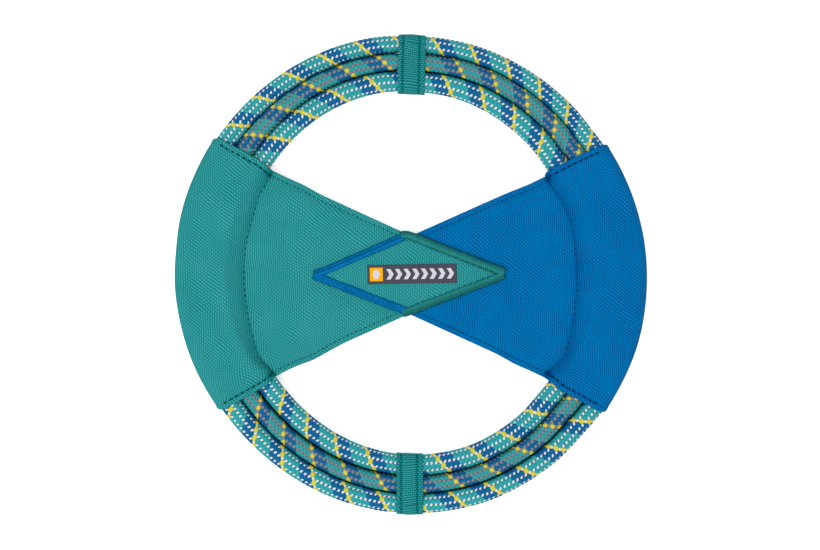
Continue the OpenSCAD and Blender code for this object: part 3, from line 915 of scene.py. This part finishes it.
UP_ROLL = [(-5.0, 19.9), (-2.2, 20.3), (0.5, 19.8), (12.0, 15.0), (30.0, 8.0), (43.0, 3.0), (47.7, 1.4)]
LOW_ROLL = [(-3.8, -19.4), (0.0, -18.0), (12.0, -13.4), (30.0, -6.6), (43.0, -1.7), (47.2, 0.3)]
UP_TIP = [(-48.0, 0.4), (-43.0, 1.75), (-24.0, 10.1), (-3.0, 19.15)]
LOW_TIP = [(-48.4, 0.2), (-42.5, -2.2), (-24.0, -9.45), (-1.6, -18.0)]
LABEL_AT, LABEL_TURN = (1.0, 0.55), math.radians(1.0)
LABEL_L, LABEL_W = 44.5, 9.6


def half_height(x):
    """How far the patch's plate reaches from the waist's middle line, under the folds."""
    return np.interp(x, [-46.5, -3.0, 0.5, 46.5], [0.6, 18.9, 18.9, 0.8])


def plate_z(x, y, face):
    base = 2.05 + 0.16 * ripple(x * 1.3, y * 1.3, 41 + face) + 0.1 * np.sin(x / 9.0)
    d = (half_height(x) - np.abs(y)) * 0.93
    base = base - 0.55 * bell(np.maximum(d - 1.2, 0), 0.9)
    on = np.maximum(np.abs(x - LABEL_AT[0]) - LABEL_L / 2, np.abs(y - LABEL_AT[1]) - LABEL_W / 2)
    flatter = 1 - step_to(on, -1, 4)
    return base * (1 - flatter * 0.8) + 2.15 * flatter * 0.8


def patch(face, word):
    x = np.linspace(-46.3, 46.3, 260)[:, None]
    v = np.linspace(-1, 1, 131)[None]
    y = v * half_height(x)
    x = np.broadcast_to(x, y.shape)
    z = plate_z(x, y, face)
    top = np.stack([x, y, MID + face * z], -1)
    bottom = np.stack([x, y, MID + face * (z - 0.8)], -1)
    verts, quads = slab(top, bottom)
    weave = np.stack([x + 300, y * 1.0, np.clip(0.6 + 0.8 * ripple(x, y, 64), -1, 1)], -1)
    # painted shade on the plate along its edges, under the folds
    inset = (half_height(x) - np.abs(y)) * 0.93
    dark = as_x(0.22 * (1 - step_to(inset, 0.9, 1.9)))
    ob = mesh_object(f"waist_patch_{word}", verts, [quads], [M_TEAL], attrs=both(weave=weave, crease=dark))
    return piece(ob, "teal_cloth", f"waist_patch_{word}")


def path_row(points, shift, face, height, start, stop):
    """A line beside a fold's middle line, as a surface for stitches; on the patch if height is None."""
    line = resampled(points, 0.4)
    xy = line + beside(line) * shift
    run = run_of(xy)
    xy = xy[(run >= start) & (run <= run[-1] - stop)]
    z = plate_z(xy[:, 0], xy[:, 1], face) + 0.08 if height is None else np.full(len(xy), height)
    p = np.concatenate([xy, (MID + face * z)[:, None]], -1)
    return p, straight_up(p, face)


tip_rows, patch_rows, plates, hems = [], [], {}, {}
for face, word in FACES:
    plates[word] = patch(face, word)
    blue, teal = (M_BLUE_HEM, "blue_cloth"), (M_TEAL_HEM, "teal_cloth")
    hems[word] = [
        fold(f"blue_fold_low_{word}", LOW_TIP, 4.2, 0.9, 2.75, face, *blue, -1, (0.2, 0.16), seed=3),
        fold(f"blue_fold_up_{word}", UP_TIP, 3.9, 0.95, 2.9, face, *blue, 1, (0, 0.16), 0.5, seed=8),
        fold(f"teal_fold_low_{word}", LOW_ROLL, 4.1, 0.9, 3.1, face, *teal, -1, (0, 0.4), -0.5, seed=5),
        fold(f"teal_fold_up_{word}", UP_ROLL, 3.9, 0.9, 3.05, face, *teal, 1, (0, 0.34), seed=6),
    ]
    tip_rows.append(path_row(UP_TIP, 0.3, face, 2.62, 4, 3))
    tip_rows.append(path_row(LOW_TIP, -0.2, face, 2.78, 4, 3))
    patch_rows.append(path_row(UP_ROLL, -2.25, face, None, 5.5, 2))
    patch_rows.append(path_row(LOW_ROLL, 2.35, face, None, 4, 2))
sew("blue_tip_stitches", tip_rows, T_FOLD, "blue_thread", "blue_tip_thread", r=0.16, long=1.6, pitch=3.0)
sew("waist_patch_stitches", patch_rows, T_TEAL_HEM, "teal_thread", "waist_patch_thread", r=0.2, long=1.8)

# -------- label


def on_label(u, v):
    c, s = math.cos(LABEL_TURN), math.sin(LABEL_TURN)
    return LABEL_AT[0] + u * c - v * s, LABEL_AT[1] + u * s + v * c


def label_z(u, v):
    x, y = on_label(u, v)
    return plate_z(x, y, 1)


def label():
    u = np.linspace(-LABEL_L / 2, LABEL_L / 2, 180)[:, None]
    v = np.linspace(-LABEL_W / 2, LABEL_W / 2, 50)[None]
    u, v = np.broadcast_arrays(u, v)
    x, y = on_label(u, v)
    edge = np.minimum(LABEL_L / 2 - np.abs(u), LABEL_W / 2 - np.abs(v))
    z = label_z(u, v)
    top = np.stack([x, y, MID + z + 0.12 + 0.42 * rounded(edge, 0.35)], -1)
    bottom = np.stack([x, y, MID + z - 0.05], -1)
    verts, quads = slab(top, bottom)
    weave = np.stack([u, v, np.zeros_like(u)], -1)
    ob = mesh_object("waist_label", verts, [quads], [M_LABEL], attrs=both(weave=weave))
    return piece(ob, "label_cloth", "waist_label")


def raised(name, outlines, mat, tall=0.16):
    """Raised woven shapes on the label, each a convex outline of (u, v) points."""
    verts, sides, caps = [], [], []
    count = 0
    for outline in outlines:
        o = np.array(outline, float)
        n = len(o)
        c = o.mean(0)
        inner = o + (c - o) * (0.18 / np.maximum(np.linalg.norm(o - c, axis=1), 0.3))[:, None]
        for ring, h in ((o, 0.0), (o, tall * 0.6), (inner, tall)):
            x, y = on_label(ring[:, 0], ring[:, 1])
            z = MID + label_z(ring[:, 0], ring[:, 1]) + 0.5 + h
            verts.append(np.stack([x, y, z], -1))
        i = np.arange(n)
        j = (i + 1) % n
        for level in (count, count + n):
            sides.append(np.stack([i + level, j + level, j + level + n, i + level + n], -1))
        caps += [i[None] + count + 2 * n, i[None, ::-1] + count]
        count += 3 * n
    v = np.concatenate(verts)
    polys = [np.concatenate(sides), np.concatenate(caps)]
    weave = v * [1.0, 1.0, 0.0]
    return piece(mesh_object(name, v, polys, [mat], attrs={"weave": weave}, smooth=False), "label_cloth")


M_AMBER = cloth("amber_label_weave", (0.66, 0.30, 0.001), pitch=(0.4, 0.4), bold=0.3, lift=0.03)
M_PALE = cloth("pale_label_weave", (0.46, 0.445, 0.51), pitch=(0.4, 0.4), bold=0.3, lift=0.03)
label_plate = label()
amber = [(-21.0, -3.35), (-14.6, -3.35), (-14.6, 3.35), (-21.0, 3.35)]
marks = [raised("label_amber_block", [amber], M_AMBER, tall=0.08)]
pale = []
for k in range(8):
    a = -12.8 + 4.3 * k
    pale.append([(a, 2.6), (a + 2.1, 2.6), (a + 3.7, 0.0), (a + 1.6, 0.0)])
    pale.append([(a + 1.6, 0.0), (a + 3.7, 0.0), (a + 2.1, -2.6), (a, -2.6)])
marks.append(raised("label_pale_chevrons", pale, M_PALE))
hexagon = circle(6) * [1.84, 2.5] + [-17.8, 0.0]
marks.append(raised("label_pale_mark", [hexagon], M_PALE, tall=0.2))
rows = []
for side in (-1, 1):
    u = np.linspace(-LABEL_L / 2 + 0.6, LABEL_L / 2 - 0.6, 200)
    v = np.full_like(u, side * (LABEL_W / 2 - 0.75))
    x, y = on_label(u, v)
    p = np.stack([x, y, MID + label_z(u, v) + 0.52], -1)
    rows.append((p, straight_up(p, 1)))
sew("label_stitches", rows, T_GREY, "grey_thread", "label_thread", r=0.1, long=1.7, pitch=2.6, sink=0.16)

# -------- bands


BAND_R = 4.78                                    # middle of a band's cloth, from a rope's centre
BAND_W = 13.75
BANDS = {"upper": (1, 0.85, 0.95, 0.8), "lower": (-1, -0.1, 0.0, 0.0)}       # up, middle, lean, slack
GROOVES = (-4.45, 3.75)                          # where its two rows of stitches are
N_OVER, N_TURN = 60, 26                          # points over the ropes, and round the rim's side


def band_loop():
    """The closed section of a band round the three ropes: (r, z) points and outward normals."""
    t = np.linspace(0, 1, N_OVER, endpoint=False)
    a = np.linspace(0, np.pi, N_TURN, endpoint=False)
    over = np.stack([R_OUT + (R_IN - R_OUT) * t, np.full_like(t, BAND_R)], -1)
    sag = np.sin(2 * np.pi * t) ** 2
    n_over = np.broadcast_to([0.0, 1.0], over.shape)
    over = over - n_over * (0.28 * sag)[:, None]
    n_in = np.stack([-np.sin(a), np.cos(a)], -1)
    inner = np.array([R_IN, 0]) + BAND_R * n_in
    under = np.stack([R_IN + (R_OUT - R_IN) * t, -np.full_like(t, BAND_R) + 0.28 * sag], -1)
    n_out = -n_in
    outer = np.array([R_OUT, 0]) + BAND_R * n_out
    pts = np.concatenate([over, inner, under, outer])
    ns = np.concatenate([n_over, n_in, -n_over, n_out])
    return pts, ns


def band_shape(u, run, seed, turned):
    """How far the cloth stands out across a band's width u, along its run.

    turned is 1 where the band goes round the ropes' sides and 0 over the ropes."""
    puffed = 0.28 * bell(u + 5.9, 0.75) + 0.26 * bell(u - 5.6, 0.9)
    middle = 0.20 * np.cos(np.clip((u + 0.35) / 4.0, -1, 1) * np.pi / 2)
    fade = 0.55 + 0.45 * np.sin(run / 2.9 + seed)
    groove = sum(0.17 * bell(u - g, 0.6) * fade for g in GROOVES)
    puck = 0.07 * np.sin(2 * np.pi * run / 3.1 + seed) * bell(np.abs(u) - 4.2, 1.6)
    return (puffed - groove + puck) * (1 - 0.8 * turned) + middle


def band(which, seed):
    up, centre, lean, slack = BANDS[which]
    pts, ns = band_loop()
    run = run_of(np.concatenate([pts, pts[:1]]))[:-1][:, None]
    u = BAND_W / 2 * np.sin(np.linspace(-np.pi / 2, np.pi / 2, 61))[None] * 0.35
    u = u + 0.65 * BAND_W / 2 * np.linspace(-1, 1, 61)[None]
    wide = 0.965 + 0.012 * np.sin(run / 5.0 + seed)
    edge = BAND_W / 2 - np.abs(u)
    thick = 0.36 * rounded(edge, 0.7, 0.02)

    def stood_off(x, p, n, off):
        """The points at x across the band that stand off its section p along its normals n."""
        r = p[..., 0] + n[..., 0] * off - slack * np.maximum(-n[..., 0], 0)
        x = x + (centre + lean * 0.0225 * (p[..., 0] - 104))
        y = r - x**2 / (2 * r)
        return np.stack(np.broadcast_arrays(x, y * up, MID + (p[..., 1] + n[..., 1] * off)), -1)

    p, n = pts[:, None], ns[:, None]
    out = band_shape(u, run, seed, n[..., 0] ** 2)
    grids = [stood_off(u * wide, p, n, out + s * thick) for s in (1, -1)]
    verts, quads = slab(*grids, loop=True)
    uu, rn = np.broadcast_arrays(u, run)
    weave = np.stack([rn, uu, np.clip(np.abs(uu + 0.3) / 3 - 1, -0.4, 0.6)], -1)
    # painted shade along the two grooves of stitches
    dark = as_x(sum(0.45 * bell(uu - g, 0.65) for g in GROOVES))
    ob = mesh_object(f"{which}_band", verts, [quads], [M_BAND], attrs=both(weave=weave, crease=dark))
    piece(ob, "teal_cloth", f"{which}_band")
    rows = []
    for g in GROOVES:
        for first in (0, N_OVER + N_TURN):
            sewn = slice(first + 3, first + N_OVER - 3)
            p, n = pts[sewn], ns[sewn]
            off = band_shape(g, run[sewn, 0], seed, 0) + 0.36
            rows.append((stood_off(g, p, n, off), np.stack([0 * n[:, 0], n[:, 0] * up, n[:, 1]], -1)))
    sew(f"{which}_band_stitches", rows, T_TEAL, "teal_thread", f"{which}_band_thread",
        r=0.17, long=1.7, pitch=2.6)


band("upper", 1.0)
band("lower", 2.6)

# -------- floor, light and camera


def floor():
    me = bpy.data.meshes.new("floor")
    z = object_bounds()[0][2]
    me.from_pydata([(-4, -4, z), (4, -4, z), (4, 4, z), (-4, 4, z)], [], [(0, 1, 2, 3)])
    n = Nodes("white_floor", 0.9, 0.0)
    n.put(n.shader.inputs["Emission Color"], (1, 1, 1, 1))
    n.put(n.shader.inputs["Emission Strength"], 0.35)
    me.materials.append(n.done((0.94, 0.94, 0.94, 1)))
    linked("floor", me)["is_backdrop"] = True


def light(name, place, size, power):
    data = bpy.data.lights.new(name, "AREA")
    data.shape = "DISK"
    data.size = size
    data.energy = power
    ob = linked(name, data)
    ob.location = place
    d = -np.array(place)
    yaw = math.atan2(d[1], d[0])
    pitch = math.acos(-d[2] / np.linalg.norm(d))
    ob.rotation_euler = (pitch, 0, yaw - math.pi / 2)


floor()
light("key_light", (-0.8, -0.75, 1.9), 1.4, 36)
light("fill_light", (0.9, 0.8, 2.2), 2.0, 16)
world = bpy.data.worlds.new("studio")
world.use_nodes = True
sky = world.node_tree.nodes["Background"].inputs
sky["Color"].default_value = (1, 1, 1, 1)
sky["Strength"].default_value = 0.8
bpy.context.scene.world = world
bpy.context.scene.view_settings.view_transform = "Standard"

cam = linked("camera", bpy.data.cameras.new("camera"))
cam.data.lens = 100
cam.data.sensor_width = 36
away = 0.410 * cam.data.lens / cam.data.sensor_width         # the picture is 0.410 m wide
cam.location = (0, 0, MID * MM + away)
bpy.context.scene.camera = cam
